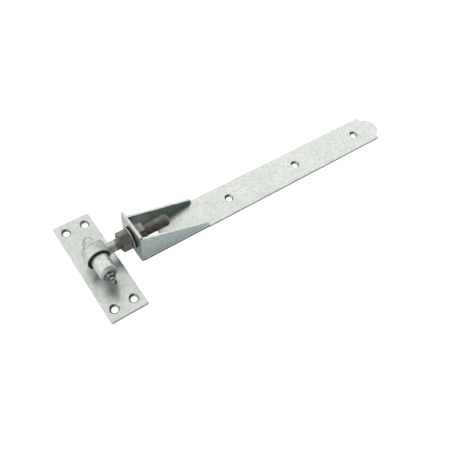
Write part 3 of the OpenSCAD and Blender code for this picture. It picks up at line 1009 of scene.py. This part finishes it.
def welds():
    """A bead across the floor behind the end plate, and one up each wing."""
    x = END_HI.x
    leg = WELD_HI.x - WELD_LO.x
    inner_y = STRAP_HI.y - SHEET_T
    across = inner_y - leg - 1
    floor_bead = bead((x, -across, SHEET_T), (x, across, SHEET_T), (1, 0, 0), (0, 0, 1), leg, 1.0)
    parts = [floor_bead]
    up = Vector((0, -math.sin(WING_LEAN), math.cos(WING_LEAN)))
    inward = Vector((0, -math.cos(WING_LEAN), -math.sin(WING_LEAN)))
    corner = Vector((x, inner_y, FOLD_R))
    for side in (1, -1):
        flip = Vector((1, side, 1))
        foot = (corner + up) * flip
        head = (corner + up * (WELD_HI.z - FOLD_R - 0.3)) * flip
        parts.append(bead(foot, head, (1, 0, 0), inward * flip, leg, 5.0 * side))
    piece("weld_beads_visual", joined(*parts), "band", ZINC, ["end_plate_welds"], sharp_deg=60)


# ---------------------------------------------------------------- stage and camera

WHITE_PAPER = (0.92, 0.92, 0.92), (0.90, 0.90, 0.90)
REFLECTED_PAPER = (0.86, 0.97, 1.0), (0.80, 0.91, 0.94)
SKY, SKY_DIM = (1.05, 1.04, 0.98), (0.045, 0.070, 0.070)
DIM_TOWARDS = (0.42, -0.75, 0.45)  # the dim side, in front of the object and to its right
DIM_FROM, DIM_FULL = 0.36, 0.78  # cosines of the angles from that side where it starts and ends


def sheet_of_paper(name, z_mm, light, dark, glow):
    """A plain paper floor, evenly pale with a faint unevenness."""
    size = 6.0  # metres, from the middle to each edge
    mesh = bpy.data.meshes.new(name)
    corners = [(-size, -size, 0), (size, -size, 0), (size, size, 0), (-size, size, 0)]
    mesh.from_pydata(corners, [], [(0, 1, 2, 3)])
    floor = bpy.data.objects.new(name, mesh)
    floor.location.z = z_mm * MM
    bpy.context.scene.collection.objects.link(floor)
    paper = Nodes(name)
    speck = paper.noise(300, detail=2)
    roughness = paper.band(speck, 0, 1, 0.8, 0.9)
    colour = paper.mix(speck, dark, light)
    material = paper.finish(colour, roughness, paper.bump(speck, 0.01), metallic=0.0)
    floor.data.materials.append(material)
    paper.shader.inputs["Emission Color"].default_value = (*light, 1)
    paper.shader.inputs["Emission Strength"].default_value = glow
    return floor


def studio():
    """Pale floor and a plain soft surround, bright all round but for a dim side in front of the object.

    The floor is two sheets: the camera sees a white one, and the metal reflects a greyer one that takes the
    object's full shadow.
    """
    white = sheet_of_paper("floor", -0.2, *WHITE_PAPER, glow=1.0)
    white.visible_diffuse = white.visible_glossy = white.visible_shadow = False
    grey = sheet_of_paper("floor_reflected", -0.4, *REFLECTED_PAPER, glow=0.03)
    grey.visible_camera = False
    surround()
    soft_light("key", (1.3, 0.6, 1.1), (0.2, 0, 0), size=1.4, power=1.3)
    soft_light("fill", (-1.2, 0.3, 1.2), (0.1, 0, 0), size=1.0, power=1.5)


def surround():
    """The world's light: an even sky that falls smoothly to dim on one side."""
    world = bpy.data.worlds.new("surround")
    world.use_nodes = True
    tree = world.node_tree
    direction = tree.nodes.new("ShaderNodeTexCoord").outputs["Generated"]
    dot = tree.nodes.new("ShaderNodeVectorMath")
    dot.operation = "DOT_PRODUCT"
    dot.inputs[1].default_value = Vector(DIM_TOWARDS).normalized()
    tree.links.new(direction, dot.inputs[0])
    fall = tree.nodes.new("ShaderNodeMapRange")
    fall.interpolation_type = "SMOOTHSTEP"
    fall.inputs["From Min"].default_value = DIM_FROM
    fall.inputs["From Max"].default_value = DIM_FULL
    tree.links.new(dot.outputs["Value"], fall.inputs["Value"])
    mix = tree.nodes.new("ShaderNodeMix")
    mix.data_type = "RGBA"
    mix.inputs[6].default_value = (*SKY, 1)
    mix.inputs[7].default_value = (*SKY_DIM, 1)
    tree.links.new(fall.outputs["Result"], mix.inputs["Factor"])
    tree.links.new(mix.outputs[2], tree.nodes["Background"].inputs["Color"])
    tree.nodes["Background"].inputs["Strength"].default_value = 1.0
    bpy.context.scene.world = world


def soft_light(name, place, target, size, power):
    """A square area light at a place in metres, turned to a target."""
    data = bpy.data.lights.new(name, "AREA")
    data.shape = "SQUARE"
    data.size = size
    data.energy = power
    light = bpy.data.objects.new(name, data)
    light.location = place
    light.rotation_euler = (Vector(target) - Vector(place)).to_track_quat("-Z", "Y").to_euler()
    bpy.context.scene.collection.objects.link(light)


def camera():
    """The photograph's viewpoint, from the fit of the plate, the strap and their holes; lengths in metres."""
    azimuth, elevation, roll = (math.radians(d) for d in (-40.5, 53.5, 6.46))
    lens_mm, distance = 42.28, 0.7113
    target = Vector((0.1699, -0.0329, 0))
    level = math.cos(elevation)
    back = Vector((math.sin(azimuth) * level, -math.cos(azimuth) * level, math.sin(elevation)))
    data = bpy.data.cameras.new("camera")
    data.lens = lens_mm
    data.clip_start, data.clip_end = 0.01, 50
    cam = bpy.data.objects.new("camera", data)
    cam.rotation_mode = "QUATERNION"
    cam.location = target + back * distance
    turn = (-back).to_track_quat("-Z", "Y").to_matrix() @ Matrix.Rotation(roll, 3, "Z")
    cam.rotation_quaternion = turn.to_quaternion()
    bpy.context.scene.collection.objects.link(cam)
    bpy.context.scene.camera = cam


# ---------------------------------------------------------------- whole scene

hook_plate()
hook()
seal_ring()
nipple()
eye_bolt()
nuts_and_washers()
strap()
end_plate()
welds()
for cad_node, finish in (("grease_nipple_ball", PLATED), ("grease_nipple_spring", WIRE)):
    for material_slot in frame["nodes"][cad_node].material_slots:
        material_slot.material = finish
studio()
camera()
bpy.context.scene.view_settings.view_transform = "Standard"
